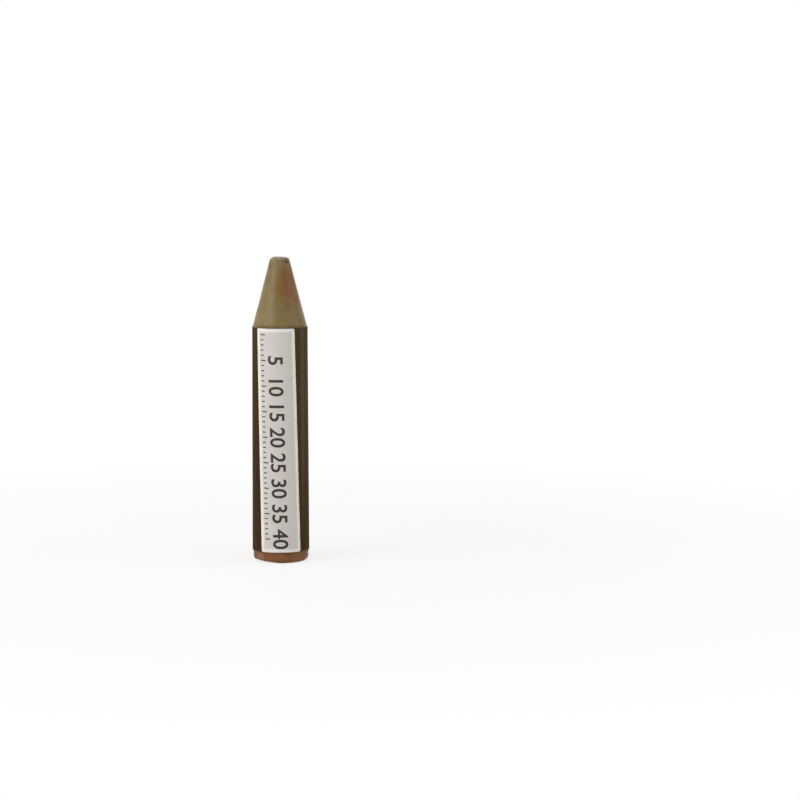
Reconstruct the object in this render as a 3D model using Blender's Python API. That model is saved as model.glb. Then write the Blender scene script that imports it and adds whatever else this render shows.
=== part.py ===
"""A wax filler stick for touching up furniture, modelled as it comes apart on a bench.

A moulded wax stick carries a paper wrapper that is wound once round its barrel. A line of glue closes
the wrapper's lap at the back, and a white label is stuck on the front.

Metres. +Z runs up the stick to its tip, the origin is the centre of the flat base, and the label
faces -Y.
"""

import math

import bpy

MM = 0.001

# Wax stick: a drafted barrel, a conical nose and a blunt tip
STICK_LENGTH = 60.0 * MM
BASE_DIAMETER = 10.92 * MM
SHOULDER_DIAMETER = 10.54 * MM
NOSE_LENGTH = 13.55 * MM
TIP_DIAMETER = 3.56 * MM
BASE_EDGE_RADIUS = 1.0 * MM
SHOULDER_RADIUS = 1.5 * MM
TIP_EDGE_RADIUS = 0.45 * MM

# Paper wrapper: one turn round the barrel and a lap at the back
PAPER_THICKNESS = 0.10 * MM
BARE_BASE = 2.18 * MM
BARE_SHOULDER = 0.25 * MM
LAP_WIDTH = 5.0 * MM
LAP_RAMP = 1.6 * MM
LAP_BEARING = math.radians(90)

# Glue line in the lap
GLUE_THICKNESS = 0.05 * MM
GLUE_WIDTH = 3.6 * MM
GLUE_END_MARGIN = 0.6 * MM

# White label on the front, put on a little askew
LABEL_THICKNESS = 0.08 * MM
LABEL_WIDTH = 8.03 * MM
LABEL_CORNER_RADIUS = 0.35 * MM
LABEL_TOP_MARGIN = 0.05 * MM
LABEL_BASE_MARGIN = 0.08 * MM
LABEL_BEARING = math.radians(-95.3)
LABEL_SKEW = math.radians(1.45)

# Clearance between two pieces that lie on each other
FIT_CLEARANCE = 0.04 * MM

# Facets
ROUND_STEPS = 96
ARC_STEP = math.radians(11)
RAMP_STEPS = 8
LAP_STEPS = 14
GLUE_STEPS = 10
LABEL_COLUMNS = 24
LABEL_ROWS = 14
CORNER_ROWS = 4
MERGE_DISTANCE = 0.001 * MM

# Heights and lifts that follow from the sizes above
SHOULDER_HEIGHT = STICK_LENGTH - NOSE_LENGTH
WRAPPER_BASE = BARE_BASE
WRAPPER_TOP = SHOULDER_HEIGHT - BARE_SHOULDER
LAP_RISE = PAPER_THICKNESS + GLUE_THICKNESS + 2 * FIT_CLEARANCE
WRAPPER_LIFT = FIT_CLEARANCE
GLUE_LIFT = WRAPPER_LIFT + PAPER_THICKNESS + FIT_CLEARANCE
LABEL_LIFT = WRAPPER_LIFT + PAPER_THICKNESS + FIT_CLEARANCE
LABEL_BASE = WRAPPER_BASE + LABEL_BASE_MARGIN
LABEL_TOP = WRAPPER_TOP - LABEL_TOP_MARGIN
MEAN_RADIUS = (BASE_DIAMETER + SHOULDER_DIAMETER) / 4


def clear_scene():
    """Removes every object, so that only the stick is left."""
    for obj in list(bpy.data.objects):
        bpy.data.objects.remove(obj)


def make_material(name, colour, roughness):
    """A plain dielectric finish, with its colour in linear light."""
    material = bpy.data.materials.new(name)
    material.use_nodes = True
    shader = material.node_tree.nodes["Principled BSDF"]
    shader.inputs["Base Color"].default_value = (*colour, 1.0)
    shader.inputs["Roughness"].default_value = roughness
    shader.inputs["Metallic"].default_value = 0.0
    material.diffuse_color = (*colour, 1.0)
    return material


def add_object(name, points, edges, faces, material, parent):
    """A named mesh object under the stick's own empty."""
    mesh = bpy.data.meshes.new(name)
    mesh.from_pydata(points, edges, faces)
    mesh.materials.append(material)
    obj = bpy.data.objects.new(name, mesh)
    obj.parent = parent
    bpy.context.scene.collection.objects.link(obj)
    return obj


def barrel_radius(height):
    """The wax barrel's radius, which the mould's draft narrows towards the shoulder."""
    share = height / SHOULDER_HEIGHT
    return (BASE_DIAMETER + (SHOULDER_DIAMETER - BASE_DIAMETER) * share) / 2


def on_barrel(bearing, height, lift):
    """A point that stands off the wax barrel by lift, at a bearing from +X about +Z."""
    radius = barrel_radius(height) + lift
    return (radius * math.cos(bearing), radius * math.sin(bearing), height)


def rounded_corner(before, corner, after, radius):
    """The arc of that radius which replaces a corner of a profile, as (x, z) points."""
    to_before = (before[0] - corner[0], before[1] - corner[1])
    to_after = (after[0] - corner[0], after[1] - corner[1])
    back = math.atan2(to_before[1], to_before[0])
    ahead = math.atan2(to_after[1], to_after[0])
    opening = (ahead - back + math.pi) % (2 * math.pi) - math.pi
    turn = math.pi - abs(opening)
    middle = back + opening / 2
    reach = radius / math.sin(abs(opening) / 2)
    centre = (corner[0] + reach * math.cos(middle), corner[1] + reach * math.sin(middle))
    steps = max(1, math.ceil(turn / ARC_STEP))
    start = middle + math.pi + math.copysign(turn / 2, opening)
    swing = -math.copysign(turn, opening)
    bearings = [start + swing * step / steps for step in range(steps + 1)]
    return [(centre[0] + radius * math.cos(a), centre[1] + radius * math.sin(a)) for a in bearings]


def wax_profile():
    """The turned outline of the wax, from the tip's centre down to the base's centre."""
    corners = [
        (0.0, STICK_LENGTH, 0.0),
        (TIP_DIAMETER / 2, STICK_LENGTH, TIP_EDGE_RADIUS),
        (SHOULDER_DIAMETER / 2, SHOULDER_HEIGHT, SHOULDER_RADIUS),
        (BASE_DIAMETER / 2, 0.0, BASE_EDGE_RADIUS),
        (0.0, 0.0, 0.0),
    ]
    outline = [corners[0][:2]]
    for before, corner, after in zip(corners, corners[1:], corners[2:]):
        outline += rounded_corner(before, corner, after, corner[2])
    return outline + [corners[-1][:2]]


def make_wax_stick(material, parent):
    """The moulded wax: its outline turned about +Z."""
    outline = [(x, 0.0, z) for x, z in wax_profile()]
    edges = [(i, i + 1) for i in range(len(outline) - 1)]
    stick = add_object("wax_stick", outline, edges, [], material, parent)
    turned = stick.modifiers.new("Turned outline", "SCREW")
    turned.axis = "Z"
    turned.steps = ROUND_STEPS
    turned.render_steps = ROUND_STEPS
    turned.use_merge_vertices = True
    turned.merge_threshold = MERGE_DISTANCE
    turned.use_smooth_shade = True
    return stick


def make_sheet(name, rows, thickness, material, parent):
    """A bent sheet: rows of points on its inner face, thickened away from the barrel."""
    columns = len(rows[0])
    points = [point for row in rows for point in row]
    faces = []
    for row in range(len(rows) - 1):
        for column in range(columns - 1):
            low = row * columns + column
            high = low + columns
            faces.append((low, low + 1, high + 1, high))
    sheet = add_object(name, points, [], faces, material, parent)
    sheet.data.shade_smooth()
    thick = sheet.modifiers.new("Sheet thickness", "SOLIDIFY")
    thick.thickness = thickness
    thick.offset = 1.0
    thick.use_even_offset = True
    return sheet


def smooth_step(share):
    """Rises from 0 to 1 with level ends."""
    return share * share * (3 - 2 * share)


def lap_start():
    """The bearing of the wrapper's inner edge, half a lap before the lap's middle."""
    return LAP_BEARING - LAP_WIDTH / MEAN_RADIUS / 2


def wrapper_columns():
    """(bearing, lift) along the winding: one turn, a ramp over the inner edge, then the lap."""
    start = lap_start()
    turn_end = start + 2 * math.pi
    ramp = LAP_RAMP / MEAN_RADIUS
    lap = LAP_WIDTH / MEAN_RADIUS
    round_length = turn_end - 2 * ramp - start
    columns = []
    for step in range(ROUND_STEPS + 1):
        columns.append((start + round_length * step / ROUND_STEPS, WRAPPER_LIFT))
    for step in range(1, RAMP_STEPS + 1):
        share = step / RAMP_STEPS
        lift = WRAPPER_LIFT + LAP_RISE * smooth_step(share)
        columns.append((turn_end - 2 * ramp + ramp * share, lift))
    for step in range(1, LAP_STEPS + 1):
        bearing = turn_end - ramp + (ramp + lap) * step / LAP_STEPS
        columns.append((bearing, WRAPPER_LIFT + LAP_RISE))
    return columns


def make_wrapper(material, parent):
    """The dark paper, wound once round the barrel and lapped over its own first edge."""
    rows = []
    for height in (WRAPPER_BASE, WRAPPER_TOP):
        rows.append([on_barrel(bearing, height, lift) for bearing, lift in wrapper_columns()])
    return make_sheet("wrapper", rows, PAPER_THICKNESS, material, parent)


def make_lap_glue(material, parent):
    """The line of glue between the two layers of the lap."""
    middle = lap_start() + LAP_WIDTH / MEAN_RADIUS / 2
    width = GLUE_WIDTH / MEAN_RADIUS
    bearings = [middle + width * (step / GLUE_STEPS - 0.5) for step in range(GLUE_STEPS + 1)]
    rows = []
    for height in (WRAPPER_BASE + GLUE_END_MARGIN, WRAPPER_TOP - GLUE_END_MARGIN):
        rows.append([on_barrel(bearing, height, GLUE_LIFT) for bearing in bearings])
    return make_sheet("lap_glue", rows, GLUE_THICKNESS, material, parent)


def label_heights():
    """Heights of the label's rows, closer together in its rounded corners."""
    corner_steps = [math.cos(math.pi / 2 * i / CORNER_ROWS) for i in range(CORNER_ROWS, 0, -1)]
    insets = [LABEL_CORNER_RADIUS * (1 - step) for step in corner_steps[::-1]]
    low = LABEL_BASE + LABEL_CORNER_RADIUS
    high = LABEL_TOP - LABEL_CORNER_RADIUS
    middle = [low + (high - low) * i / LABEL_ROWS for i in range(LABEL_ROWS + 1)]
    return [LABEL_BASE + d for d in insets] + middle + [LABEL_TOP - d for d in insets[::-1]]


def label_half_width(height):
    """Half the label's width, drawn in by the corner's arc near each end."""
    from_end = min(height - LABEL_BASE, LABEL_TOP - height)
    depth = max(0.0, LABEL_CORNER_RADIUS - from_end)
    drawn_in = LABEL_CORNER_RADIUS - math.sqrt(max(0.0, LABEL_CORNER_RADIUS**2 - depth**2))
    return LABEL_WIDTH / 2 - drawn_in


def make_front_label(material, parent):
    """The white label, stuck on the wrapper and turned a little out of line with the stick."""
    middle_height = (LABEL_BASE + LABEL_TOP) / 2
    rows = []
    for height in label_heights():
        radius = barrel_radius(height) + LABEL_LIFT
        askew = (height - middle_height) * math.tan(LABEL_SKEW) / radius
        half = label_half_width(height) / radius
        shares = [2 * i / LABEL_COLUMNS - 1 for i in range(LABEL_COLUMNS + 1)]
        bearings = [LABEL_BEARING - askew + half * share for share in shares]
        rows.append([on_barrel(bearing, height, LABEL_LIFT) for bearing in bearings])
    return make_sheet("front_label", rows, LABEL_THICKNESS, material, parent)


def main():
    clear_scene()
    stick = bpy.data.objects.new("filler_stick", None)
    bpy.context.scene.collection.objects.link(stick)
    make_wax_stick(make_material("wax", (0.216, 0.147, 0.078), 0.5), stick)
    make_wrapper(make_material("dark_paper", (0.060, 0.038, 0.020), 0.4), stick)
    make_lap_glue(make_material("dried_glue", (0.62, 0.56, 0.42), 0.3), stick)
    make_front_label(make_material("white_paper", (0.60, 0.57, 0.53), 0.5), stick)


main()
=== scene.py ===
"""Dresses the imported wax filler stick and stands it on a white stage.

The stick is moulded wax in a wound paper wrapper. A white label with a printed millimetre scale is stuck on
the front, and a line of glue closes the wrapper's lap at the back. Every sheet is drawn flat, given its
thickness and then rolled onto the tapered barrel.

Metres. +Z runs up the stick to its tip, and the label faces -Y.
"""

import functools
import math

import bmesh
import bpy
from bpy.props import FloatProperty, FloatVectorProperty, IntProperty, PointerProperty
from bpy.types import Operator, Panel, PropertyGroup
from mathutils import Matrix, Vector, noise


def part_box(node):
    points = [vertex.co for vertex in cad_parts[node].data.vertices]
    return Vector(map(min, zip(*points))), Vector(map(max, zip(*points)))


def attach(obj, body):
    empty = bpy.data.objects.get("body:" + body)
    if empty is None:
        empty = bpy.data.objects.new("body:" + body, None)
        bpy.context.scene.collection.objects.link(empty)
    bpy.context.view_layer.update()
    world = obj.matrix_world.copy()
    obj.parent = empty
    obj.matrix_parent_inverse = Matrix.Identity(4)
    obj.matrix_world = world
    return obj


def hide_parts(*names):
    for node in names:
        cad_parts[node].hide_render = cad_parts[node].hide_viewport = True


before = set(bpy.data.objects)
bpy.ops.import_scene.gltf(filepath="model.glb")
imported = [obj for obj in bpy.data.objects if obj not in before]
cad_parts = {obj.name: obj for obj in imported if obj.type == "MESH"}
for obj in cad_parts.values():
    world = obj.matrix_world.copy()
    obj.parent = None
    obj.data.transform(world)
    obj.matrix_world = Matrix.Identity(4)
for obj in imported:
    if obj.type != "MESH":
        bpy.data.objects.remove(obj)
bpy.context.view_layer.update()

bl_info = {
    "name": "Wax Filler Stick",
    "version": (1, 0, 0),
    "blender": (4, 5, 0),
    "location": "View3D > Sidebar > Filler Stick",
    "description": "Makes the pieces of a furniture wax filler stick and the stage it is shown on",
    "category": "Add Mesh",
}

MM = 0.001
BODY = "root"

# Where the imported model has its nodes
WAX_LOW, WAX_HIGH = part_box("wax_stick")
WRAPPER_LOW, WRAPPER_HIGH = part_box("wrapper")
LABEL_LOW, LABEL_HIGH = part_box("front_label")


# Kinds of setting

def size_setting(name, description, default):
    """A length in metres."""
    return FloatProperty(
        name=name, description=description, default=default, min=0.0, precision=5,
        subtype="DISTANCE", unit="LENGTH",
    )


def angle_setting(name, description, degrees):
    """An angle, given in degrees."""
    return FloatProperty(
        name=name, description=description, default=math.radians(degrees), subtype="ANGLE", unit="ROTATION"
    )


def colour_setting(name, description, default):
    """A colour in linear light."""
    return FloatVectorProperty(
        name=name, description=description, default=default, size=3, min=0.0, max=1.0, subtype="COLOR"
    )


def count_setting(name, description, default):
    """A whole number of faces or marks."""
    return IntProperty(name=name, description=description, default=default, min=1)


def level_setting(name, description, default, unit="NONE"):
    """A plain number from zero up, such as a lamp's power."""
    return FloatProperty(name=name, description=description, default=default, min=0.0, unit=unit)


class WaxSettings(PropertyGroup):
    """Sizes and colours of the moulded wax."""

    length: size_setting("Length", "From the base to the tip", WAX_HIGH.z)
    base_diameter: size_setting("Base Diameter", "Across the barrel at the base", WAX_HIGH.x - WAX_LOW.x)
    shoulder_diameter: size_setting("Shoulder Diameter", "Across the barrel at the shoulder", 10.54 * MM)
    nose_length: size_setting("Nose Length", "From the shoulder to the tip", 13.55 * MM)
    tip_diameter: size_setting("Tip Diameter", "Across the tip before its edge is rounded", 3.56 * MM)
    base_edge: size_setting("Base Edge", "Radius of the rounded edge at the base", 1.0 * MM)
    shoulder_edge: size_setting("Shoulder Edge", "Radius of the round at the shoulder", 1.5 * MM)
    tip_edge: size_setting("Tip Edge", "Radius of the edge at the tip, rounder than cast from use", 1.0 * MM)
    tip_wear: size_setting("Tip Wear", "How much of the tip is rubbed away", 0.09 * MM)
    wave_depth: size_setting("Wave Depth", "Depth of the waves in the cast skin", 0.07 * MM)
    scuff_depth: size_setting("Scuff Depth", "Depth of the scuffs on the tip and the base edge", 0.09 * MM)
    segments: count_setting("Segments", "Faces round the stick", 176)
    colour: colour_setting("Colour", "Olive of most of the wax", (0.177, 0.137, 0.053))
    light_colour: colour_setting("Light Colour", "Tan clouds in the wax", (0.232, 0.171, 0.080))
    warm_colour: colour_setting("Warm Colour", "Red brown of the streaks and the base", (0.194, 0.069, 0.026))
    # Pale rubbed wax, partly a painted highlight on the tip's top and the foot's left front
    rubbed_colour: colour_setting("Rubbed Colour", "Pale wax on the rubbed tip", (0.300, 0.245, 0.185))
    # Dirt, with painted shade by the wrapper's edges and on the foot's left rim, and the dark spot on the
    # tip's edge
    dirt_colour: colour_setting("Dirt Colour", "Dirt by the wrapper and on the tip", (0.064, 0.042, 0.018))


class WrapperSettings(PropertyGroup):
    """Sizes and colours of the wound wrapper."""

    bottom: size_setting("Bottom", "Height of the lower edge", WRAPPER_LOW.z)
    top: size_setting("Top", "Height of the upper edge", WRAPPER_HIGH.z)
    thickness: size_setting("Thickness", "Thickness of the paper", 0.10 * MM)
    clearance: size_setting("Clearance", "Room between two layers", 0.04 * MM)
    glue_thickness: size_setting("Glue Thickness", "Thickness of the glue in the lap", 0.05 * MM)
    lap: size_setting("Lap", "Width of the lap", 5.0 * MM)
    ramp: size_setting("Ramp", "Length over which the paper climbs onto its first edge", 1.6 * MM)
    lap_bearing: angle_setting("Lap Bearing", "Where the middle of the lap is, from +X", 90)
    ripple: size_setting("Ripple", "Depth of the ripples in the paper", 0.03 * MM)
    edge_lift: size_setting("Edge Lift", "How far the free edge stands off in places", 0.10 * MM)
    columns: count_setting("Columns", "Faces along the winding", 330)
    rows: count_setting("Rows", "Faces up the paper", 60)
    colour: colour_setting("Colour", "Dark brown print", (0.050, 0.023, 0.008))
    light_colour: colour_setting("Light Colour", "Olive brown of the paler bands", (0.068, 0.050, 0.022))
    # Painted highlight on the right strip
    faded_colour: colour_setting("Faded Colour", "Streak where the print has faded", (0.094, 0.070, 0.037))
    # Painted shade on the left strip
    deep_colour: colour_setting("Deep Colour", "Darkest print, left of the label", (0.030, 0.021, 0.010))
    core_colour: colour_setting("Core Colour", "Bare paper at the cut edges", (0.230, 0.165, 0.100))


class LabelSettings(PropertyGroup):
    """Sizes and colours of the white label."""

    bottom: size_setting("Bottom", "Height of the lower edge", LABEL_LOW.z)
    top: size_setting("Top", "Height of the upper edge", LABEL_HIGH.z)
    width: size_setting("Width", "Across the label, along its curve", 8.03 * MM)
    thickness: size_setting("Thickness", "Thickness of the label paper", 0.08 * MM)
    corner: size_setting("Corner", "Radius of the corners", 0.35 * MM)
    border: size_setting("Border", "Width of the unprinted border", 0.62 * MM)
    bearing: angle_setting("Bearing", "Where the middle of the label is, from +X", -95.3)
    skew: angle_setting("Skew", "How far the label is turned out of line with the stick", 1.45)
    curl: size_setting("Curl", "How far the edges stand off in places", 0.03 * MM)
    columns: count_setting("Columns", "Faces across the label", 56)
    rows: count_setting("Rows", "Faces up the label", 150)
    colour: colour_setting("Colour", "Grey white of the panel", (0.562, 0.534, 0.501))
    # The whiter border is partly a painted highlight along the label's edges
    border_colour: colour_setting("Border Colour", "Whiter border", (0.762, 0.738, 0.713))
    core_colour: colour_setting("Core Colour", "White core at the cut edges", (0.640, 0.615, 0.575))


class ScaleSettings(PropertyGroup):
    """Sizes and colour of the scale that is printed on the label."""

    zero: size_setting("Zero", "From the label's upper edge to the scale's zero", 1.2 * MM)
    spacing: size_setting("Spacing", "From one mark to the next", 1.0 * MM)
    marks: count_setting("Marks", "Marks on the scale, zero included", 41)
    numbered: count_setting("Numbered", "Every such mark is longer and has a number", 5)
    short_mark: size_setting("Short Mark", "Length of a plain mark", 0.65 * MM)
    long_mark: size_setting("Long Mark", "Length of a numbered mark", 1.05 * MM)
    mark_width: size_setting("Mark Width", "Width of a mark's line", 0.22 * MM)
    marks_from: size_setting("Marks From", "From the label's middle line to where the marks begin", 3.10 * MM)
    digit_height: size_setting("Digit Height", "Height of the numbers", 2.95 * MM)
    digit_weight: level_setting("Digit Weight", "How far the strokes are thickened, in font units", 0.016)
    ink_thickness: size_setting("Ink Thickness", "How far the ink stands on the paper", 0.012 * MM)
    colour: colour_setting("Colour", "Brown black ink", (0.030, 0.026, 0.020))


class GlueSettings(PropertyGroup):
    """Colour of the glue line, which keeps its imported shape."""

    colour: colour_setting("Colour", "Yellowed glue", (0.62, 0.55, 0.38))


class StageSettings(PropertyGroup):
    """Camera, lamps and floor."""

    distance: size_setting("Distance", "From the camera to the stick", 0.500)
    elevation: angle_setting("Elevation", "How far the camera looks down", 6.06)
    lens: level_setting("Lens", "Focal length on a 36 mm sensor, in millimetres", 114.4)
    aim_right: size_setting("Aim Right", "How far the picture's middle is right of the stick", 23.55 * MM)
    aim_height: size_setting("Aim Height", "Height of the picture's middle", 31.58 * MM)
    key_power: level_setting("Key Power", "Large soft lamp at the upper left", 2.55, "POWER")
    fill_power: level_setting("Fill Power", "Soft lamp at the right", 0.82, "POWER")
    top_power: level_setting("Top Power", "Soft lamp over the stick", 0.60, "POWER")
    back_power: level_setting("Back Power", "Soft lamp behind the stick", 0.55, "POWER")
    sky: level_setting("Sky", "Even light from all round", 0.42)
    floor_colour: colour_setting("Floor Colour", "Pale floor", (0.90, 0.90, 0.90))


class StickSettings(PropertyGroup):
    """Everything that can be set on the filler stick."""

    wax: PointerProperty(type=WaxSettings)
    wrapper: PointerProperty(type=WrapperSettings)
    label: PointerProperty(type=LabelSettings)
    scale: PointerProperty(type=ScaleSettings)
    glue: PointerProperty(type=GlueSettings)
    stage: PointerProperty(type=StageSettings)


def setting_names(group):
    """The settings of a group, as the script calls them."""
    return [name for name in group.bl_rna.properties.keys() if name not in ("rna_type", "name")]


def values_of(group):
    """The settings of a group by the names that they are shown under, which node trees use too."""
    return {group.bl_rna.properties[name].name: getattr(group, name) for name in setting_names(group)}


# Node trees, written as sums

class Term:
    """What a node gives at one output. Sums written with terms become nodes of the same tree."""

    def __init__(self, socket):
        self.socket = socket
        self.tree = socket.id_data

    def __add__(self, other):
        return calc("ADD", self, other)

    def __sub__(self, other):
        return calc("SUBTRACT", self, other)

    def __rsub__(self, other):
        return calc("SUBTRACT", other, self)

    def __mul__(self, other):
        return calc("MULTIPLY", self, other)

    def __truediv__(self, other):
        return calc("DIVIDE", self, other)


def plug(value, socket):
    """Links a term, or sets a value, on an input. None leaves the input as it is."""
    if isinstance(value, Term):
        value.tree.links.new(value.socket, socket)
    elif value is not None:
        socket.default_value = value


def fill(sockets, values):
    """Links or sets several inputs by their names."""
    for name, value in values.items():
        plug(value, sockets[name])


def new_node(tree, kind, *values, **properties):
    """A new node with its own properties, and its inputs filled in order."""
    node = tree.nodes.new(kind)
    for name, value in properties.items():
        setattr(node, name, value)
    for value, socket in zip(values, node.inputs):
        plug(value, socket)
    return node


def given_by(node):
    """What a node gives, output by output."""
    return [Term(socket) for socket in node.outputs]


def add(tree, kind, *values, output=0, **properties):
    """What a new node gives at one output."""
    return Term(new_node(tree, kind, *values, **properties).outputs[output])


def tree_of(*values):
    """The tree that the terms among some values belong to."""
    return next(value.tree for value in values if isinstance(value, Term))


def calc(operation, *values):
    """One sum of numbers, at least one of them a term."""
    return add(tree_of(*values), "ShaderNodeMath", *values, operation=operation)


def largest(*values):
    """The largest of several numbers."""
    return functools.reduce(functools.partial(calc, "MAXIMUM"), values)


def smallest(*values):
    """The smallest of several numbers."""
    return functools.reduce(functools.partial(calc, "MINIMUM"), values)


def grade(value, low, high, to_low=0.0, to_high=1.0, kind="SMOOTHSTEP"):
    """A value graded from one range into another, smoothly as a rule, and held at its ends."""
    return add(value.tree, "ShaderNodeMapRange", value, low, high, to_low, to_high, interpolation_type=kind)


def parts_of(vector):
    """The x, y and z of a vector."""
    return given_by(new_node(vector.tree, "ShaderNodeSeparateXYZ", vector))


def vector_of(x=0.0, y=0.0, z=0.0):
    """A vector made of three numbers."""
    return add(tree_of(x, y, z), "ShaderNodeCombineXYZ", x, y, z)


def length_of(vector):
    """How long a vector is."""
    return add(vector.tree, "ShaderNodeVectorMath", vector, operation="LENGTH", output="Value")


def stretched(vector, x, y, z):
    """Places scaled by unlike amounts, for a grain that runs one way."""
    return add(vector.tree, "ShaderNodeVectorMath", vector, (x, y, z), operation="MULTIPLY")


def cloud(vector, scale, detail=2.0, roughness=0.5, distortion=0.0):
    """Soft noise from 0 to 1."""
    values = (vector, None, scale, detail, roughness, None, None, None, distortion)
    return add(vector.tree, "ShaderNodeTexNoise", *values)


def cells(vector, scale):
    """How far it is to the nearest of many scattered points."""
    return add(vector.tree, "ShaderNodeTexVoronoi", vector, None, scale, feature="F1", output="Distance")


# Geometry Nodes: a sheet is drawn flat, made thick, and rolled onto the barrel

SEAM_MERGE = 0.0002 * MM
SHARP_ANGLE = math.radians(40)
LOOSE_STRIP = 1.2 * MM
CURL_STRIP = 0.9 * MM
MARK_COLUMNS = 7


def numbers(*names):
    """Inputs that take one number each."""
    return dict.fromkeys(names, "Float")


SHEET = {"Sheet": "Geometry"}
BARREL_INPUTS = numbers("Base Radius", "Draft", "Arc Radius", "Bearing")
PAPER_INPUTS = {
    **BARREL_INPUTS, **numbers("Bottom", "Top", "Thickness", "Lift"),
    "Columns": "Int", "Rows": "Int", "Print": "Material", "Core": "Material",
}


def geometry_tree(name, inputs, outputs=SHEET):
    """A new tree with named sockets: the tree, what its inputs give, and what its outputs take."""
    tree = bpy.data.node_groups.new(name, "GeometryNodeTree")
    for in_out, sockets in (("INPUT", inputs), ("OUTPUT", outputs)):
        for socket_name, kind in sockets.items():
            tree.interface.new_socket(socket_name, in_out=in_out, socket_type="NodeSocket" + kind)
    given = {term.socket.name: term for term in given_by(tree.nodes.new("NodeGroupInput"))}
    return tree, given, tree.nodes.new("NodeGroupOutput").inputs


def group_node(name, make, *values):
    """What a group of nodes gives, output by output. The group itself is made once."""
    group = bpy.data.node_groups.get(name) or make(name)
    return given_by(new_node(tree_of(*values), "GeometryNodeGroup", *values, node_tree=group))


def position(tree):
    """The x, y and z of every point."""
    return parts_of(add(tree, "GeometryNodeInputPosition"))


def placed(mesh, x, y, z):
    """The mesh with its points put at new places."""
    return add(mesh.tree, "GeometryNodeSetPosition", mesh, None, vector_of(x, y, z))


def joined(*meshes):
    """Several meshes made one."""
    join = new_node(tree_of(*meshes), "GeometryNodeJoinGeometry")
    for mesh in meshes:
        plug(mesh, join.inputs[0])
    return Term(join.outputs[0])


def remembered(mesh, name, value):
    """The mesh with a number kept on every point under a name, for its finish to read."""
    values = (mesh, None, name, value)
    return add(mesh.tree, "GeometryNodeStoreNamedAttribute", *values, data_type="FLOAT", domain="POINT")


def flat_grid(given):
    """A flat sheet of unit size, with where a point is across it and up it, from 0 to 1."""
    columns, rows = given["Columns"], given["Rows"]
    x, y, _ = position(columns.tree)
    return add(columns.tree, "GeometryNodeMeshGrid", 1.0, 1.0, columns + 1, rows + 1), x + 0.5, y + 0.5


def thicken_group(name):
    """Makes a flat sheet a closed one, and tells its upper face from its cut edges and back."""
    tree, given, taken = geometry_tree(
        name, {**SHEET, **numbers("Thickness")}, {**SHEET, "Upper Face": "Bool"}
    )
    values = (given["Sheet"], None, None, given["Thickness"], False)
    raised, upper_face, _ = given_by(new_node(tree, "GeometryNodeExtrudeMesh", *values))
    back = add(tree, "GeometryNodeFlipFaces", given["Sheet"])
    closed = add(tree, "GeometryNodeMergeByDistance", joined(back, raised), None, SEAM_MERGE)
    fill(taken, {"Sheet": closed, "Upper Face": upper_face})
    return tree


def roll_group(name):
    """Rolls what is drawn flat onto the barrel: x goes round it, y up it, and z stands off it."""
    tree, given, taken = geometry_tree(name, {**SHEET, **BARREL_INPUTS})
    across, height, lift = position(tree)
    radius = given["Base Radius"] - given["Draft"] * height + lift
    bearing = given["Bearing"] + across / given["Arc Radius"]
    x = radius * calc("COSINE", bearing)
    y = radius * calc("SINE", bearing)
    plug(placed(given["Sheet"], x, y, height), taken["Sheet"])
    return tree


def made_thick(given, sheet):
    """A flat sheet given its thickness, and which of its faces are the upper one."""
    return group_node("Thicken Sheet", thicken_group, sheet, given["Thickness"])


def rolled_on(given, sheet):
    """A sheet rolled onto the barrel that the tree's inputs describe."""
    barrel = [given[name] for name in BARREL_INPUTS]
    return group_node("Roll Onto Barrel", roll_group, sheet, *barrel)[0]


def stuck_on(given, sheet):
    """A sheet turned a little out of line with the stick, and rolled on over the wrapper."""
    x, y, z = position(sheet.tree)
    askew = x - (y - given["Middle"]) * calc("TANGENT", given["Skew"])
    return rolled_on(given, placed(sheet, askew, y, z + given["Lift"]))


def finished(mesh, material, upper_face=None, core=None):
    """Smooth faces, sharp edges, and the finishes last: the core first, then the print on the upper face."""
    tree = mesh.tree
    mesh = add(tree, "GeometryNodeSetShadeSmooth", mesh, None, True, domain="FACE")
    edge_angle = add(tree, "GeometryNodeInputMeshEdgeAngle", output="Unsigned Angle")
    sharp = calc("GREATER_THAN", edge_angle, SHARP_ANGLE)
    mesh = add(tree, "GeometryNodeSetShadeSmooth", mesh, sharp, False, domain="EDGE")
    mesh = add(tree, "GeometryNodeRealizeInstances", mesh)
    if core is not None:
        mesh = add(tree, "GeometryNodeSetMaterial", mesh, None, core)
    return add(tree, "GeometryNodeSetMaterial", mesh, upper_face, material)


def wound_wrapper_tree():
    """One sheet that goes once round the barrel, climbs over its first edge and laps it."""
    tree, given, taken = geometry_tree(
        "Wound Wrapper",
        {**PAPER_INPUTS, **numbers("Length", "Turn", "Ramp", "Lap Rise", "Ripple", "Edge Lift")},
    )
    grid, u, v = flat_grid(given)
    wind = u * given["Length"]
    height = grade(v, 0.0, 1.0, given["Bottom"], given["Top"], "LINEAR")
    ripple = cloud(vector_of(wind, height), 0.22 / MM) * given["Ripple"]
    grid = remembered(grid, "to_free_edge", given["Length"] - wind)
    sheet, upper_face = made_thick(given, placed(grid, wind, height, ripple))
    x, y, z = position(tree)
    ramp_end = given["Turn"] - given["Ramp"]
    climb = grade(x, ramp_end - given["Ramp"], ramp_end) * given["Lap Rise"]
    loose = grade(x, given["Length"] - LOOSE_STRIP, given["Length"])
    loose_spots = grade(cloud(vector_of(y=y), 0.11 / MM, 1.0), 0.45, 0.75)
    lift = z + given["Lift"] + (climb + loose * loose_spots * given["Edge Lift"])
    rolled = rolled_on(given, placed(sheet, x, y, lift))
    plug(finished(rolled, given["Print"], upper_face, given["Core"]), taken["Sheet"])
    return tree


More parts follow.
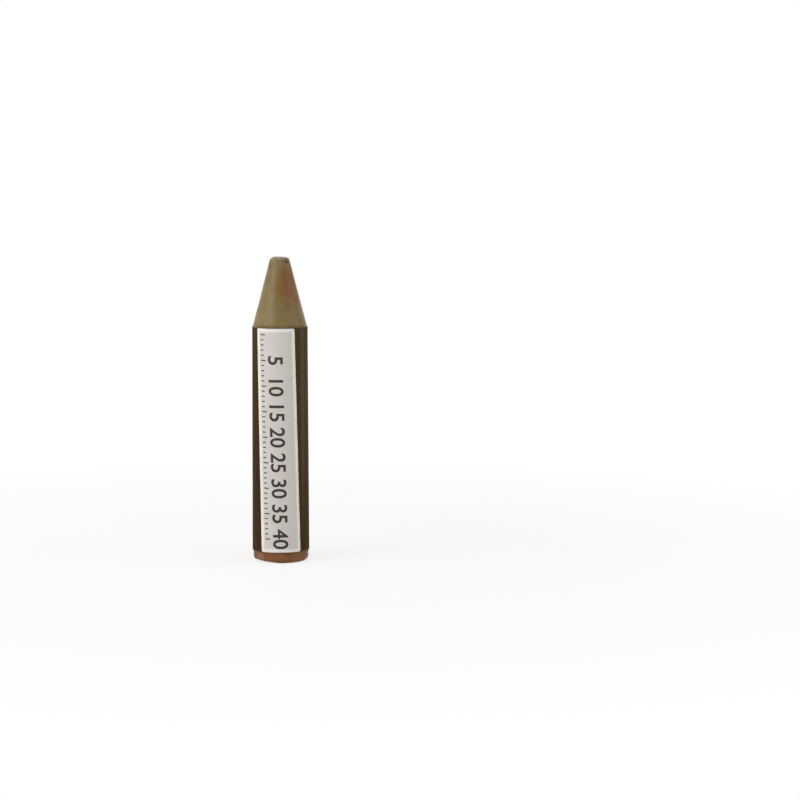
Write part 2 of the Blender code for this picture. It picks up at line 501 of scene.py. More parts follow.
def front_label_tree():
    """A white sheet with rounded corners, put on a little askew."""
    tree, given, taken = geometry_tree(
        "Front Label", {**PAPER_INPUTS, **numbers("Width", "Middle", "Corner", "Skew", "Curl")}
    )
    grid, u, v = flat_grid(given)
    # The smooth grading sets the rows closer together in the corners
    height = grade(v, 0.0, 1.0, given["Bottom"], given["Top"])
    to_end = smallest(height - given["Bottom"], given["Top"] - height)
    corner = given["Corner"]
    into_corner = largest(corner - to_end, 0)
    chord = calc("POWER", corner, 2) - calc("POWER", into_corner, 2)
    drawn_in = corner - calc("SQRT", largest(chord, 0))
    half_width = given["Width"] * 0.5
    across = (u * 2 - 1) * (half_width - drawn_in)
    to_edge = smallest(half_width - calc("ABSOLUTE", across), to_end)
    curl_spots = grade(cloud(vector_of(across, height), 0.13 / MM, 1.0), 0.42, 0.72)
    curl = grade(to_edge, CURL_STRIP, 0.0) * (curl_spots * given["Curl"])
    grid = remembered(grid, "to_edge", to_edge)
    sheet, upper_face = made_thick(given, placed(grid, across, height, curl))
    plug(finished(stuck_on(given, sheet), given["Print"], upper_face, given["Core"]), taken["Sheet"])
    return tree


def printed_scale_tree():
    """Adds the marks to the numbers that were set flat, and prints both on the label."""
    tree, given, taken = geometry_tree(
        "Printed Scale",
        {
            "Numbers": "Geometry", "Marks": "Int", "Numbered": "Int",
            **numbers("Zero Height", "Spacing", "Short Mark", "Long Mark", "Mark Width", "Marks From"),
            **BARREL_INPUTS, **numbers("Thickness", "Lift", "Middle", "Skew"), "Ink": "Material",
        },
    )
    start = vector_of(given["Marks From"] * -1, given["Zero Height"])
    step = vector_of(y=given["Spacing"] * -1)
    line = add(tree, "GeometryNodeMeshLine", given["Marks"], None, start, step)
    x, y, _ = position(tree)
    mark = placed(add(tree, "GeometryNodeMeshGrid", 1.0, 1.0, MARK_COLUMNS, 2), x + 0.5, y, 0.0)
    place = calc("MODULO", add(tree, "GeometryNodeInputIndex"), given["Numbered"])
    is_plain = calc("GREATER_THAN", place, 0.5)
    length = grade(is_plain, 0.0, 1.0, given["Long Mark"], given["Short Mark"], "LINEAR")
    size = vector_of(length, given["Mark Width"], 1.0)
    marks = add(tree, "GeometryNodeInstanceOnPoints", line, None, mark, None, None, None, size)
    marks = add(tree, "GeometryNodeRealizeInstances", marks)
    ink, _ = made_thick(given, joined(marks, given["Numbers"]))
    plug(finished(stuck_on(given, ink), given["Ink"]), taken["Sheet"])
    return tree


def grow(obj, tree, values):
    """Runs a tree on an object and leaves its result there as a plain mesh."""
    modifier = obj.modifiers.new(tree.name, "NODES")
    modifier.node_group = tree
    for item in tree.interface.items_tree:
        if item.in_out == "INPUT" and item.name in values:
            modifier[item.identifier] = values[item.name]
    graph = bpy.context.evaluated_depsgraph_get()
    drawn = obj.data
    obj.data = bpy.data.meshes.new_from_object(
        obj.evaluated_get(graph), preserve_all_data_layers=True, depsgraph=graph
    )
    obj.data.name = obj.name
    obj.modifiers.remove(modifier)
    bpy.data.meshes.remove(drawn)
    # The tree leaves an empty slot before its own materials
    for index in reversed(range(len(obj.data.materials))):
        if obj.data.materials[index] is None:
            obj.data.materials.pop(index=index)
    if not obj.data.polygons:
        raise RuntimeError(f"{obj.name} came out empty")


def new_piece(name):
    """An empty mesh object in the scene."""
    obj = bpy.data.objects.new(name, bpy.data.meshes.new(name))
    bpy.context.scene.collection.objects.link(obj)
    return obj


# Finishes, with places and sizes in millimetres

BORDER_BLUR = 0.25
STAIN_SHADES = (0.86, 0.83, 0.78)


def finish_tree(name):
    """A new material, its shader's inputs and places in millimetres."""
    material = bpy.data.materials.new(name)
    material.use_nodes = True
    tree = material.node_tree
    places = add(tree, "ShaderNodeTexCoord", output="Object")
    millimetres = add(tree, "ShaderNodeVectorMath", places, None, None, 1 / MM, operation="SCALE")
    return material, tree.nodes["Principled BSDF"].inputs, millimetres


def shaded(colour, share):
    """A colour made darker or lighter."""
    return [part * share for part in colour]


def tinted(share, first, second):
    """Two colours mixed by a share."""
    mix = new_node(share.tree, "ShaderNodeMix", share, data_type="RGBA")
    for colour, socket in ((first, mix.inputs[6]), (second, mix.inputs[7])):
        plug(colour if isinstance(colour, Term) else (*colour, 1.0), socket)
    return Term(mix.outputs[2])


def layered(colour, *coats):
    """A colour with others laid over it in turn, each by its share."""
    for share, coat in coats:
        colour = tinted(share, colour, coat)
    return colour


def bumped(height, depth, strength):
    """The normals of a relief with a depth in metres."""
    return add(height.tree, "ShaderNodeBump", strength, depth, None, height)


def spot(places, middle, reach, ragged):
    """A soft patch with a ragged edge round a place, 1 inside and 0 outside."""
    off = add(places.tree, "ShaderNodeVectorMath", places, middle, operation="SUBTRACT")
    distance = length_of(stretched(off, *[1 / size for size in reach]))
    return grade(distance + (cloud(places, 0.7, 4.0, 0.6) - 0.5) * ragged, 1.15, 0.35)


def from_mesh(tree, name):
    """A number that the mesh keeps under a name, in millimetres."""
    return add(tree, "ShaderNodeAttribute", attribute_name=name, output="Fac") * (1 / MM)


def paper_relief(places):
    """Felted fibres of a smooth paper."""
    fibres = cloud(stretched(places, 2.2, 2.2, 0.8), 1.6, 5.0, 0.62, 1.2)
    return cloud(places, 6.0, 3.0, 0.6) * 0.5 + fibres


def wax_finish(wax, wrapper):
    """Coloured wax: clouded, streaked with redder wax, rubbed pale at the tip, scratched and pitted, with
    painted highlights on the tip and foot and painted shade by the wrapper and on the foot's rim.
    """
    material, shader, places = finish_tree("coloured_wax")
    length, paper_bottom, paper_top = wax.length / MM, wrapper.bottom / MM, wrapper.top / MM
    _, _, height = parts_of(places)
    clouds = grade(cloud(places, 0.17, 5.0, 0.55, 0.4), 0.36, 0.66)
    # Streaks of the redder wax run up the nose, thickest on its right
    streaks = grade(cloud(stretched(places, 1.0, 1.0, 0.25), 0.8, 5.0, 0.6, 0.4), 0.40, 0.68)
    smear = spot(places, (2.2, -2.4, length - 6.0), (3.9, 3.9, 5.2), 0.7) * (streaks * 0.32 + 0.64)
    # The foot is of the redder wax, less so in a patch right of its middle
    foot_patch = spot(places, (3.4, -4.1, 1.2), (1.9, 1.9, 1.6), 0.6)
    foot_share = grade(cloud(places, 0.4, 4.0), 0.3, 0.7, 0.76, 1.00) - foot_patch * 0.25
    reddened = largest(smear, streaks * 0.08, grade(height, 4.0, 2.6) * foot_share)
    tip_share = grade(cloud(places, 1.1, 4.0, 0.6), 0.30, 0.70, 0.35, 1.0)
    # The tip is rubbed pale, and its pale top is partly a painted highlight
    tip_wear_and_highlight = grade(height, length - 0.80, length - 0.35) * tip_share
    # A pale patch on the foot's left front, partly rubbed wax and partly a painted highlight
    foot_wear_and_highlight = spot(places, (-4.0, -3.5, 1.2), (1.2, 1.2, 1.1), 0.6) * 0.28
    flecks = grade(cloud(places, 2.6, 3.0, 0.6), 0.60, 0.74, 0.0, 0.35)
    bloom = grade(cloud(places, 0.55, 6.0, 0.65, 0.8), 0.52, 0.80, 0.0, 0.20)
    bloom_colour = [min(1.0, part * 1.6 + 0.03) for part in wax.light_colour]
    # Dirt and painted shade gather against the wrapper's two edges, more at the upper one, and dirt lies in
    # flecks on the tip that is used
    dirt_and_shade_by_paper = grade(largest(height - paper_top, paper_bottom - height), 0.8, 0.0)
    more_on_top = grade(height, paper_bottom, paper_top, 0.25, 1.0)
    dirt_and_shade_spots = grade(cloud(places, 1.2, 4.0, 0.6), 0.25, 0.60, 0.20, 0.55)
    by_tip = grade(height, length - 4.0, length - 1.0)
    tip_spots = grade(cloud(places, 1.5, 3.0, 0.6), 0.56, 0.68, 0.0, 0.7)
    # A dark spot on the tip's right front edge
    dark_tip_spot = spot(places, (1.45, -1.4, length - 1.0), (0.65, 0.65, 0.55), 0.4) * 0.8
    # Painted shade darkens the foot's left rim
    foot_rim_shade = spot(places, (-5.1, -1.7, 1.3), (1.3, 1.3, 1.5), 0.5) * 0.6
    dirt_and_shade = largest(dirt_and_shade_by_paper * more_on_top * dirt_and_shade_spots, by_tip * tip_spots, dark_tip_spot, foot_rim_shade)
    grain = cloud(places, 1.9, 6.0, 0.62)
    scratches = grade(cloud(stretched(places, 5.0, 5.0, 0.55), 1.0, 3.0, 0.6, 0.6), 0.60, 0.72)
    pits = grade(cells(places, 1.15), 0.05, 0.16)
    fill(shader, {
        "Base Color": layered(
            wax.colour,
            (clouds, wax.light_colour),
            (reddened, wax.warm_colour),
            (largest(tip_wear_and_highlight, foot_wear_and_highlight), wax.rubbed_colour),
            (flecks, shaded(wax.colour, 0.55)),
            (bloom, bloom_colour),
            (dirt_and_shade, wax.dirt_colour),
        ),
        "Roughness": grade(cloud(places, 0.9, 4.0), 0.3, 0.7, 0.26, 0.38),
        "Normal": bumped(grain - scratches * 0.35 + pits * 0.5, 0.05 * MM, 0.4),
        "Specular IOR Level": 0.11,
        "Subsurface Weight": 0.12,
        "Subsurface Radius": (1.0, 0.55, 0.30),
        "Subsurface Scale": 0.9 * MM,
    })
    return material


def dark_print_finish(wrapper):
    """Paper printed dark brown under a thin varnish, worn through in places along its edges, with a painted
    highlight on the right strip and painted shade on the left.
    """
    material, shader, places = finish_tree("dark_printed_paper")
    _, _, height = parts_of(places)
    bands = grade(cloud(stretched(places, 1.0, 1.0, 0.06), 0.38, 3.0), 0.34, 0.66)
    upwards = grade(height, 12.0, 42.0, 0.0, 0.45)
    # A painted highlight runs up the right strip, strongest towards the top
    painted_highlight = spot(places, (4.45, -3.35, 38.0), (0.75, 0.75, 30.0), 0.35)
    # Painted shade darkens the left strip towards its rim
    left_strip_shade = spot(places, (-5.0, -2.3, 24.0), (2.6, 2.6, 34.0), 0.35) * 0.6
    blotches = grade(cloud(places, 0.9, 5.0, 0.65, 0.5), 0.45, 0.75, 0.0, 0.30)
    specks = grade(cloud(places, 4.5, 4.0, 0.7), 0.68, 0.80, 0.0, 0.30)
    to_free_edge = from_mesh(places.tree, "to_free_edge")
    to_edge = smallest(wrapper.top / MM - height, height - wrapper.bottom / MM, to_free_edge)
    rubbed_spots = grade(cloud(places, 0.16, 4.0, 0.65), 0.40, 0.66, 0.15, 0.65)
    ragged = grade(cloud(places, 2.4, 5.0, 0.65), 0.30, 0.70, 0.4, 1.0)
    fill(shader, {
        "Base Color": layered(
            wrapper.colour,
            (bands * 0.5 + upwards, wrapper.light_colour),
            (painted_highlight, wrapper.faded_colour),
            (left_strip_shade, wrapper.deep_colour),
            (blotches, shaded(wrapper.colour, 0.7)),
            (specks, wrapper.core_colour),
            (grade(to_edge, 0.28, 0.0) * rubbed_spots * ragged, wrapper.core_colour),
        ),
        "Roughness": grade(cloud(places, 0.6, 4.0), 0.3, 0.7, 0.44, 0.58),
        "Normal": bumped(paper_relief(places), 0.015 * MM, 0.35),
        "Specular IOR Level": 0.012,
    })
    return material


def white_print_finish(label):
    """Coated white paper: a grey white panel in a whiter border that is partly a painted highlight along the
    edges, faintly stained and fibrous.
    """
    material, shader, places = finish_tree("coated_white_paper")
    to_edge = from_mesh(places.tree, "to_edge")
    # A whiter border, partly a painted highlight along the edges
    border = grade(to_edge, label.border / MM + BORDER_BLUR, label.border / MM - BORDER_BLUR)
    stain = grade(cloud(places, 0.20, 5.0, 0.6, 0.5), 0.45, 0.80, 0.0, 0.45)
    stain_colour = [part * shade for part, shade in zip(label.colour, STAIN_SHADES)]
    fibres = grade(cloud(stretched(places, 3.0, 3.0, 1.0), 2.2, 4.0, 0.65, 1.0), 0.58, 0.74, 0.0, 0.22)
    smudge_spots = grade(cloud(places, 0.8, 5.0, 0.65), 0.45, 0.70, 0.0, 0.5)
    fill(shader, {
        "Base Color": layered(
            label.colour,
            (border, label.border_colour),
            (stain, stain_colour),
            (fibres, shaded(label.colour, 0.72)),
            (grade(to_edge, 0.35, 0.0) * smudge_spots, shaded(label.colour, 0.45)),
        ),
        "Roughness": grade(cloud(places, 0.7, 4.0), 0.3, 0.7, 0.44, 0.58),
        "Normal": bumped(paper_relief(places), 0.015 * MM, 0.3),
        "Specular IOR Level": 0.30,
    })
    return material


def paper_core_finish(name, colour):
    """The bare felt of a cut paper edge."""
    material, shader, places = finish_tree(name)
    felt = grade(cloud(places, 7.0, 4.0, 0.7), 0.35, 0.70)
    fill(shader, {
        "Base Color": tinted(felt, shaded(colour, 0.75), colour),
        "Roughness": grade(felt, 0.0, 1.0, 0.80, 0.92),
        "Normal": bumped(felt, 0.02 * MM, 0.4),
        "Specular IOR Level": 0.20,
    })
    return material


def ink_finish(colour):
    """Brown black ink that has not quite covered the paper's fibres."""
    material, shader, places = finish_tree("printing_ink")
    thin = grade(cloud(places, 3.4, 5.0, 0.7), 0.55, 0.80, 0.0, 0.55)
    fill(shader, {
        "Base Color": tinted(thin, colour, shaded(colour, 4.5)),
        "Roughness": grade(cloud(places, 2.0, 3.0), 0.3, 0.7, 0.40, 0.58),
        "Normal": bumped(paper_relief(places), 0.01 * MM, 0.3),
        "Specular IOR Level": 0.30,
    })
    return material


def glue_finish(colour):
    """Dried paper glue, yellowed and full of fine bubbles."""
    material, shader, places = finish_tree("yellowed_glue")
    clouds = grade(cloud(places, 0.6, 4.0, 0.6), 0.3, 0.7)
    bubbles = grade(cells(places, 2.4), 0.05, 0.30)
    fill(shader, {
        "Base Color": tinted(clouds, colour, shaded(colour, 0.7)),
        "Roughness": grade(bubbles, 0.0, 1.0, 0.28, 0.45),
        "Normal": bumped(bubbles, 0.02 * MM, 0.5),
    })
    return material


# Moulded wax

OUTLINE_STEP = 0.45 * MM
ARC_STEP = math.radians(7)

# Waves and scuffs fade in over these lengths. The flat underside has none.
NOSE_FADE = 1.5 * MM
FOOT_FADE = 0.8 * MM
TIP_SCUFFS_FROM = 1.1 * MM
TIP_SCUFFS_FULL = 0.3 * MM
UNDERSIDE_FADE = (-0.95, -0.6)
WAVE_SIZE = 3.6 * MM
SCUFF_SIZE = 0.9 * MM
SCUFF_OFFSET = Vector((7, 3, 1))

# Flats that use has worn on the tip and on one side of the base
TIP_TILT = math.radians(10.0)
TIP_HIGH_SIDE = 0.2 * MM
FOOT_WEAR_BEARING = math.radians(-165)
FOOT_WEAR_TILT = math.radians(6.8)
FOOT_WEAR_FROM = 1.15 * MM


def straight(start, end):
    """Points along a straight stretch of the outline, without its last one."""
    steps = max(1, round((end - start).length / OUTLINE_STEP))
    return [start.lerp(end, step / steps) for step in range(steps)]


def rounded(before, corner, after, radius):
    """The arc that takes a corner's place in the outline."""
    back = (before - corner).normalized()
    ahead = (after - corner).normalized()
    half_opening = back.angle(ahead) / 2
    centre = corner + (back + ahead).normalized() * (radius / math.sin(half_opening))
    reach = radius / math.tan(half_opening)
    first = corner + back * reach - centre
    last = corner + ahead * reach - centre
    steps = max(2, round((math.pi - 2 * half_opening) / ARC_STEP))
    return [centre + first.lerp(last, step / steps).normalized() * radius for step in range(steps + 1)]


def wax_outline(wax):
    """Radius and height along the smooth stick, from the rubbed tip's middle down to the base's middle."""
    shoulder = wax.length - wax.nose_length
    tip = wax.length - wax.tip_wear
    nose_slope = (wax.shoulder_diameter - wax.tip_diameter) / 2 / wax.nose_length
    corners = [
        (Vector((0, tip)), 0),
        (Vector((wax.tip_diameter / 2 + wax.tip_wear * nose_slope, tip)), wax.tip_edge),
        (Vector((wax.shoulder_diameter / 2, shoulder)), wax.shoulder_edge),
        (Vector((wax.base_diameter / 2, 0)), wax.base_edge),
        (Vector((0, 0)), 0),
    ]
    outline = []
    last = corners[0][0]
    for (before, _), (corner, radius), (after, _) in zip(corners, corners[1:], corners[2:]):
        curve = rounded(before, corner, after, radius)
        outline += straight(last, curve[0]) + curve[:-1]
        last = curve[-1]
    return outline + straight(last, corners[-1][0]) + [corners[-1][0]]


def turned(outline, segments):
    """The outline turned about +Z, with one point at each pole."""
    mesh = bmesh.new()
    angles = [2 * math.pi * step / segments for step in range(segments)]
    rings = []
    for radius, height in outline:
        if radius:
            places = [(radius * math.cos(angle), radius * math.sin(angle), height) for angle in angles]
            rings.append([mesh.verts.new(place) for place in places])
        else:
            rings.append([mesh.verts.new((0, 0, height))] * segments)
    for upper, lower in zip(rings, rings[1:]):
        for step in range(segments):
            corners = (upper[step - 1], lower[step - 1], lower[step], upper[step])
            # Next to a pole two of the corners are one point
            mesh.faces.new(list(dict.fromkeys(corners)))
    return mesh


def smooth_share(value, low, high):
    """0 at low and 1 at high, smoothly, and held outside them."""
    share = min(1.0, max(0.0, (value - low) / (high - low)))
    return share * share * (3 - 2 * share)


def cut_flat(point, on_plane, normal):
    """A point that stands out over a plane is pressed back onto it."""
    return point - normal * max(0.0, (point - on_plane).dot(normal))


def worn(point, normal, wax, wrapper):
    """Where the wax skin really is: cast waves on the bare wax, a rubbed tip and a base worn on one side."""
    shoulder = wax.length - wax.nose_length
    nose = smooth_share(point.z, shoulder, shoulder + NOSE_FADE)
    foot = smooth_share(point.z, wrapper.bottom, wrapper.bottom - FOOT_FADE)
    foot *= smooth_share(normal.z, *UNDERSIDE_FADE)
    tip = smooth_share(point.z, wax.length - TIP_SCUFFS_FROM, wax.length - TIP_SCUFFS_FULL)
    waves = 0.5 + 0.5 * noise.noise(point / WAVE_SIZE)
    scuffs = max(0.0, noise.noise(point / SCUFF_SIZE + SCUFF_OFFSET))
    depth = wax.wave_depth * waves * max(nose, foot) + wax.scuff_depth * scuffs * max(tip, foot)
    skin = point - normal * depth
    tip_normal = Vector((math.sin(TIP_TILT), 0, math.cos(TIP_TILT)))
    skin = cut_flat(skin, Vector((TIP_HIGH_SIDE, 0, wax.length - wax.tip_wear)), tip_normal)
    worn_side = Vector((math.cos(FOOT_WEAR_BEARING), math.sin(FOOT_WEAR_BEARING), 0))
    foot_normal = worn_side * math.sin(FOOT_WEAR_TILT) - Vector((0, 0, math.cos(FOOT_WEAR_TILT)))
    return cut_flat(skin, worn_side * FOOT_WEAR_FROM, foot_normal)


class FILLERSTICK_OT_wax(Operator):
    """Make the moulded wax stick"""

    bl_idname = "filler_stick.wax"
    bl_label = "Moulded Wax"

    def execute(self, context):
        settings = context.scene.filler_stick
        wax = settings.wax
        mesh = turned(wax_outline(wax), wax.segments)
        mesh.normal_update()
        skin = [worn(vert.co, vert.normal, wax, settings.wrapper) for vert in mesh.verts]
        for vert, place in zip(mesh.verts, skin):
            vert.co = place
        piece = new_piece("moulded_wax")
        mesh.to_mesh(piece.data)
        mesh.free()
        piece.data.shade_smooth()
        piece.data.materials.append(wax_finish(wax, settings.wrapper))
        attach(piece, BODY)
        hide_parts("wax_stick")
        return {"FINISHED"}


# Wrapper, label, scale and glue

def barrel_values(wax):
    """The barrel that every sheet is rolled onto."""
    shoulder = wax.length - wax.nose_length
    return {
        "Base Radius": wax.base_diameter / 2,
        "Draft": (wax.base_diameter - wax.shoulder_diameter) / 2 / shoulder,
        "Arc Radius": (wax.base_diameter + wax.shoulder_diameter) / 4,
    }


class FILLERSTICK_OT_wrapper(Operator):
    """Wind the dark paper wrapper round the barrel"""

    bl_idname = "filler_stick.wrapper"
    bl_label = "Wound Wrapper"

    def execute(self, context):
        settings = context.scene.filler_stick
        wrapper = settings.wrapper
        barrel = barrel_values(settings.wax)
        turn = 2 * math.pi * barrel["Arc Radius"]
        piece = new_piece("wound_wrapper")
        grow(piece, wound_wrapper_tree(), {
            **barrel,
            **values_of(wrapper),
            "Bearing": wrapper.lap_bearing - wrapper.lap / barrel["Arc Radius"] / 2,
            "Length": turn + wrapper.lap,
            "Turn": turn,
            "Lap Rise": wrapper.thickness + wrapper.glue_thickness + 2 * wrapper.clearance,
            "Lift": wrapper.clearance,
            "Print": dark_print_finish(wrapper),
            "Core": paper_core_finish("brown_paper_core", wrapper.core_colour),
        })
        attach(piece, BODY)
        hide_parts("wrapper")
        return {"FINISHED"}


def label_values(settings):
    """What the label is rolled on with, and its scale too."""
    label = settings.label
    barrel = barrel_values(settings.wax)
    lift = settings.wrapper.thickness + 2 * settings.wrapper.clearance
    return {
        **barrel,
        **values_of(label),
        "Arc Radius": barrel["Arc Radius"] + lift,
        "Lift": lift,
        "Middle": (label.bottom + label.top) / 2,
    }


class FILLERSTICK_OT_label(Operator):
    """Stick the white label on the front of the wrapper"""

    bl_idname = "filler_stick.label"
    bl_label = "Front Label"

    def execute(self, context):
        settings = context.scene.filler_stick
        label = settings.label
        piece = new_piece("white_label")
        grow(piece, front_label_tree(), {
            **label_values(settings),
            "Print": white_print_finish(label),
            "Core": paper_core_finish("white_paper_core", label.core_colour),
        })
        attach(piece, BODY)
        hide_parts("front_label")
        return {"FINISHED"}


DIGIT_SLICE = 0.22 * MM
DIGIT_MIDDLE = -0.05 * MM
DIGIT_CURVE_STEPS = 6
# In font units, like the weight
DIGIT_NICK = 0.004


def thickened(mesh, weight):
    """Moves the outline of flat digits outwards, so that their strokes get bolder."""
    # An edge shorter than the weight would fold over, as one in the 4 does when the font thickens itself
    bmesh.ops.remove_doubles(mesh, verts=mesh.verts, dist=DIGIT_NICK)
    moves = []
    for vert in mesh.verts:
        one, other = (edge.calc_tangent(edge.link_loops[0]) for edge in vert.link_edges if edge.is_boundary)
        moves.append((one + other) * weight / (1 + one.dot(other)))
    for vert, inwards in zip(mesh.verts, moves):
        vert.co -= inwards
    inner = [edge for edge in mesh.edges if not edge.is_boundary]
    bmesh.ops.beautify_fill(mesh, faces=mesh.faces, edges=inner)


def numeral(number, scale, height):
    """A number's flat mesh, read down the stick, its middle at a height."""
    curve = bpy.data.curves.new("numeral", "FONT")
    curve.body = str(number)
    # More steps would let the thickened outline fold over itself in tight corners
    curve.resolution_u = DIGIT_CURVE_STEPS
    curve.align_x = "CENTER"
    text = bpy.data.objects.new("numeral", curve)
    bpy.context.scene.collection.objects.link(text)
    graph = bpy.context.evaluated_depsgraph_get()
    drawn = bpy.data.meshes.new_from_object(text.evaluated_get(graph))
    bpy.data.objects.remove(text)
    bpy.data.curves.remove(curve)
    mesh = bmesh.new()
    mesh.from_mesh(drawn)
    thickened(mesh, scale.digit_weight)
    low = min(vert.co.y for vert in mesh.verts)
    high = max(vert.co.y for vert in mesh.verts)
    for vert in mesh.verts:
        x, y, _ = (vert.co - Vector((0, (low + high) / 2, 0))) * (scale.digit_height / (high - low))
        vert.co = (y + DIGIT_MIDDLE, height - x, 0.0)
    mesh.to_mesh(drawn)
    mesh.free()
    return drawn


def set_numbers(piece, scale, zero_height):
    """Sets every number flat on the piece, and slices it so that it can bend."""
    sheet = bmesh.new()
    for mark in range(scale.numbered, scale.marks, scale.numbered):
        drawn = numeral(mark, scale, zero_height - mark * scale.spacing)
        sheet.from_mesh(drawn)
        bpy.data.meshes.remove(drawn)
    slices = math.ceil(scale.digit_height / 2 / DIGIT_SLICE)
    for cut in range(-slices, slices + 1):
        geometry = sheet.verts[:] + sheet.edges[:] + sheet.faces[:]
        place = (DIGIT_MIDDLE + cut * DIGIT_SLICE, 0, 0)
        bmesh.ops.bisect_plane(sheet, geom=geometry, plane_co=place, plane_no=(1, 0, 0))
    sheet.to_mesh(piece.data)
    sheet.free()


class FILLERSTICK_OT_scale(Operator):
    """Print a plain millimetre scale on the label"""

    bl_idname = "filler_stick.scale"
    bl_label = "Printed Scale"

    def execute(self, context):
        settings = context.scene.filler_stick
        scale = settings.scale
        label = label_values(settings)
        zero_height = label["Top"] - scale.zero
        piece = new_piece("printed_scale")
        set_numbers(piece, scale, zero_height)
        grow(piece, printed_scale_tree(), {
            **label,
            **values_of(scale),
            "Zero Height": zero_height,
            "Thickness": 2 * scale.ink_thickness,
            "Lift": label["Lift"] + label["Thickness"] - scale.ink_thickness,
            "Ink": ink_finish(scale.colour),
        })
        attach(piece, BODY)
        return {"FINISHED"}


class FILLERSTICK_OT_glue(Operator):
    """Finish the glue line in the wrapper's lap"""

    bl_idname = "filler_stick.glue"
    bl_label = "Lap Glue"

    def execute(self, context):
        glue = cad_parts["lap_glue"]
        glue.data.materials.clear()
        glue.data.materials.append(glue_finish(context.scene.filler_stick.glue.colour))
        return {"FINISHED"}


# Stage

WHITE = (1.0, 1.0, 1.0, 1.0)
FLOOR_RADIUS = 2.5
FLOOR_SIDES = 96
FLOOR_GLOW = 0.76
FLOOR_FADE = (0.05, 0.17)
SENSOR_WIDTH = 36.0
LAMP_COLOUR = (1.0, 0.985, 0.96)
# Place, width and height of each lamp
LAMPS = {
    "key": ((-0.483, -0.338, 0.30), 0.52, 0.19),
    "fill": ((0.512, -0.137, 0.13), 0.36, 0.40),
    "top": ((0.02, -0.06, 0.60), 0.40, 0.40),
    "back": ((-0.10, 0.56, 0.34), 0.44, 0.36),
}


def seen_directly(tree):
    """1 for what the camera sees, also in a reflection or through glass, and 0 for light on the stick."""
    path = new_node(tree, "ShaderNodeLightPath").outputs
    return largest(*[Term(path[f"Is {kind} Ray"]) for kind in ("Camera", "Glossy", "Transmission")])


def floor_finish(colour):
    """A pale floor that looks white to the camera and keeps the stick's shadow."""
    material, shader, places = finish_tree("pale_floor")
    tree = material.node_tree
    fill(shader, {
        "Base Color": (*colour, 1.0),
        "Roughness": grade(cloud(places, 0.02), 0.3, 0.7, 0.85, 0.95),
        "Specular IOR Level": 0.0,
    })
    x, y, _ = parts_of(places)
    fade_from, fade_to = FLOOR_FADE
    glow = grade(length_of(vector_of(x, y)), fade_from / MM, fade_to / MM, FLOOR_GLOW, 1.0)
    lit = Term(tree.nodes["Principled BSDF"].outputs[0])
    white = add(tree, "ShaderNodeEmission", WHITE, 1.0)
    mixed = add(tree, "ShaderNodeMixShader", seen_directly(tree) * glow, lit, white)
    plug(mixed, tree.nodes["Material Output"].inputs["Surface"])
    return material


def make_floor(colour):
    """A round floor under the stick."""
    mesh = bmesh.new()
    bmesh.ops.create_circle(mesh, cap_ends=True, segments=FLOOR_SIDES, radius=FLOOR_RADIUS)
    floor = new_piece("floor")
    mesh.to_mesh(floor.data)
    mesh.free()
    floor.data.materials.append(floor_finish(colour))


def make_sky(strength):
    """White to the camera, and an even soft light on the stick."""
    world = bpy.data.worlds.new("even_sky")
    world.use_nodes = True
    tree = world.node_tree
    tree.nodes.clear()
    light = add(tree, "ShaderNodeBackground", WHITE, strength)
    white = add(tree, "ShaderNodeBackground", WHITE, 1.0)
    mixed = add(tree, "ShaderNodeMixShader", seen_directly(tree), light, white)
    new_node(tree, "ShaderNodeOutputWorld", mixed)
    bpy.context.scene.world = world


def put_up(data, place, target):
    """A lamp or camera in the scene, at a place and turned to a target."""
    obj = bpy.data.objects.new(data.name, data)
    obj.location = place
    obj.rotation_euler = (Vector(target) - Vector(place)).to_track_quat("-Z", "Y").to_euler()
    bpy.context.scene.collection.objects.link(obj)
    return obj


def make_lamp(name, power, target):
    """A soft rectangular lamp that faces the stick and stays out of the picture."""
    place, width, height = LAMPS[name]
    data = bpy.data.lights.new(name + "_lamp", "AREA")
    data.shape = "RECTANGLE"
    data.size = width
    data.size_y = height
    data.energy = power
    data.color = LAMP_COLOUR
    put_up(data, place, target).visible_camera = False


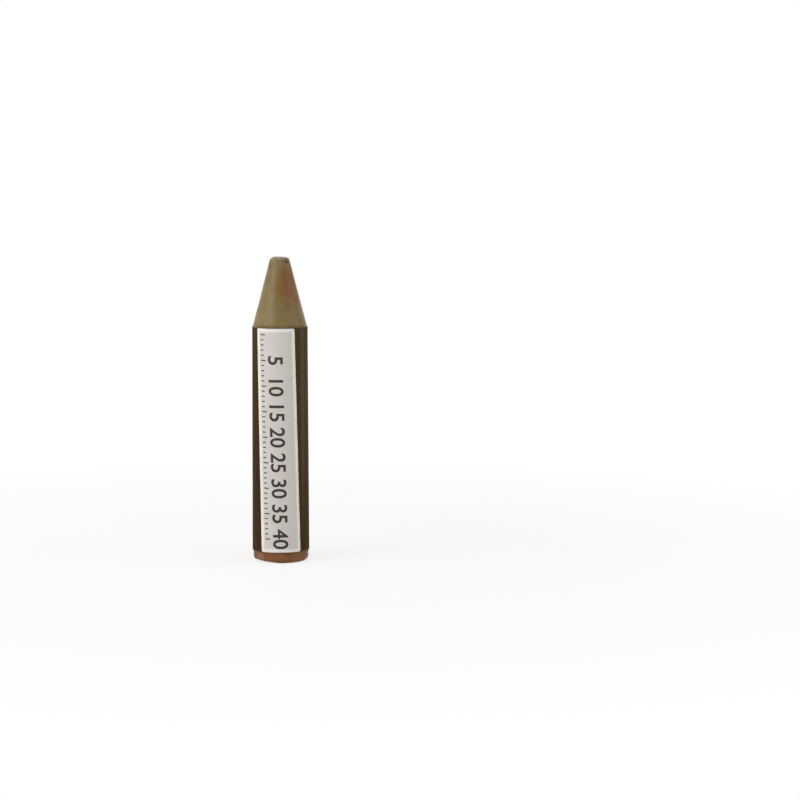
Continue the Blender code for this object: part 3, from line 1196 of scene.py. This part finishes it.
def make_camera(stage):
    """A long lens in front of the stick, turned so that the stick stands left of the picture's middle."""
    data = bpy.data.cameras.new("camera")
    data.lens = stage.lens
    data.sensor_width = SENSOR_WIDTH
    data.dof.use_dof = False
    back = Vector((0, -math.cos(stage.elevation), math.sin(stage.elevation)))
    place = Vector((0, 0, stage.aim_height)) + back * stage.distance
    bpy.context.scene.camera = put_up(data, place, (stage.aim_right, 0, stage.aim_height))


class FILLERSTICK_OT_stage(Operator):
    """Set up the floor, the soft light and the camera"""

    bl_idname = "filler_stick.stage"
    bl_label = "Stage"

    def execute(self, context):
        stage = context.scene.filler_stick.stage
        middle = (0, 0, context.scene.filler_stick.wax.length / 2)
        context.scene.view_settings.view_transform = "Standard"
        make_floor(stage.floor_colour)
        make_sky(stage.sky)
        for name in LAMPS:
            make_lamp(name, getattr(stage, name + "_power"), middle)
        make_camera(stage)
        return {"FINISHED"}


STEPS = (
    FILLERSTICK_OT_stage, FILLERSTICK_OT_wax, FILLERSTICK_OT_wrapper,
    FILLERSTICK_OT_label, FILLERSTICK_OT_scale, FILLERSTICK_OT_glue,
)


class VIEW3D_PT_filler_stick(Panel):
    """Lists the pieces of the filler stick and their settings"""

    bl_label = "Filler Stick"
    bl_space_type = "VIEW_3D"
    bl_region_type = "UI"
    bl_category = "Filler Stick"

    def draw(self, context):
        for step in STEPS:
            box = self.layout.box()
            box.operator(step.bl_idname)
            group = getattr(context.scene.filler_stick, step.bl_idname.split(".")[1])
            for name in setting_names(group):
                box.prop(group, name)


CLASSES = (
    WaxSettings, WrapperSettings, LabelSettings, ScaleSettings, GlueSettings, StageSettings, StickSettings,
    *STEPS, VIEW3D_PT_filler_stick,
)


def register():
    for item in CLASSES:
        bpy.utils.register_class(item)
    bpy.types.Scene.filler_stick = PointerProperty(type=StickSettings)


def unregister():
    del bpy.types.Scene.filler_stick
    for item in reversed(CLASSES):
        bpy.utils.unregister_class(item)


def main():
    """Makes the stage and every piece."""
    register()
    bpy.ops.filler_stick.stage()
    bpy.ops.filler_stick.wax()
    bpy.ops.filler_stick.wrapper()
    bpy.ops.filler_stick.label()
    bpy.ops.filler_stick.scale()
    bpy.ops.filler_stick.glue()


if __name__ == "__main__":
    main()
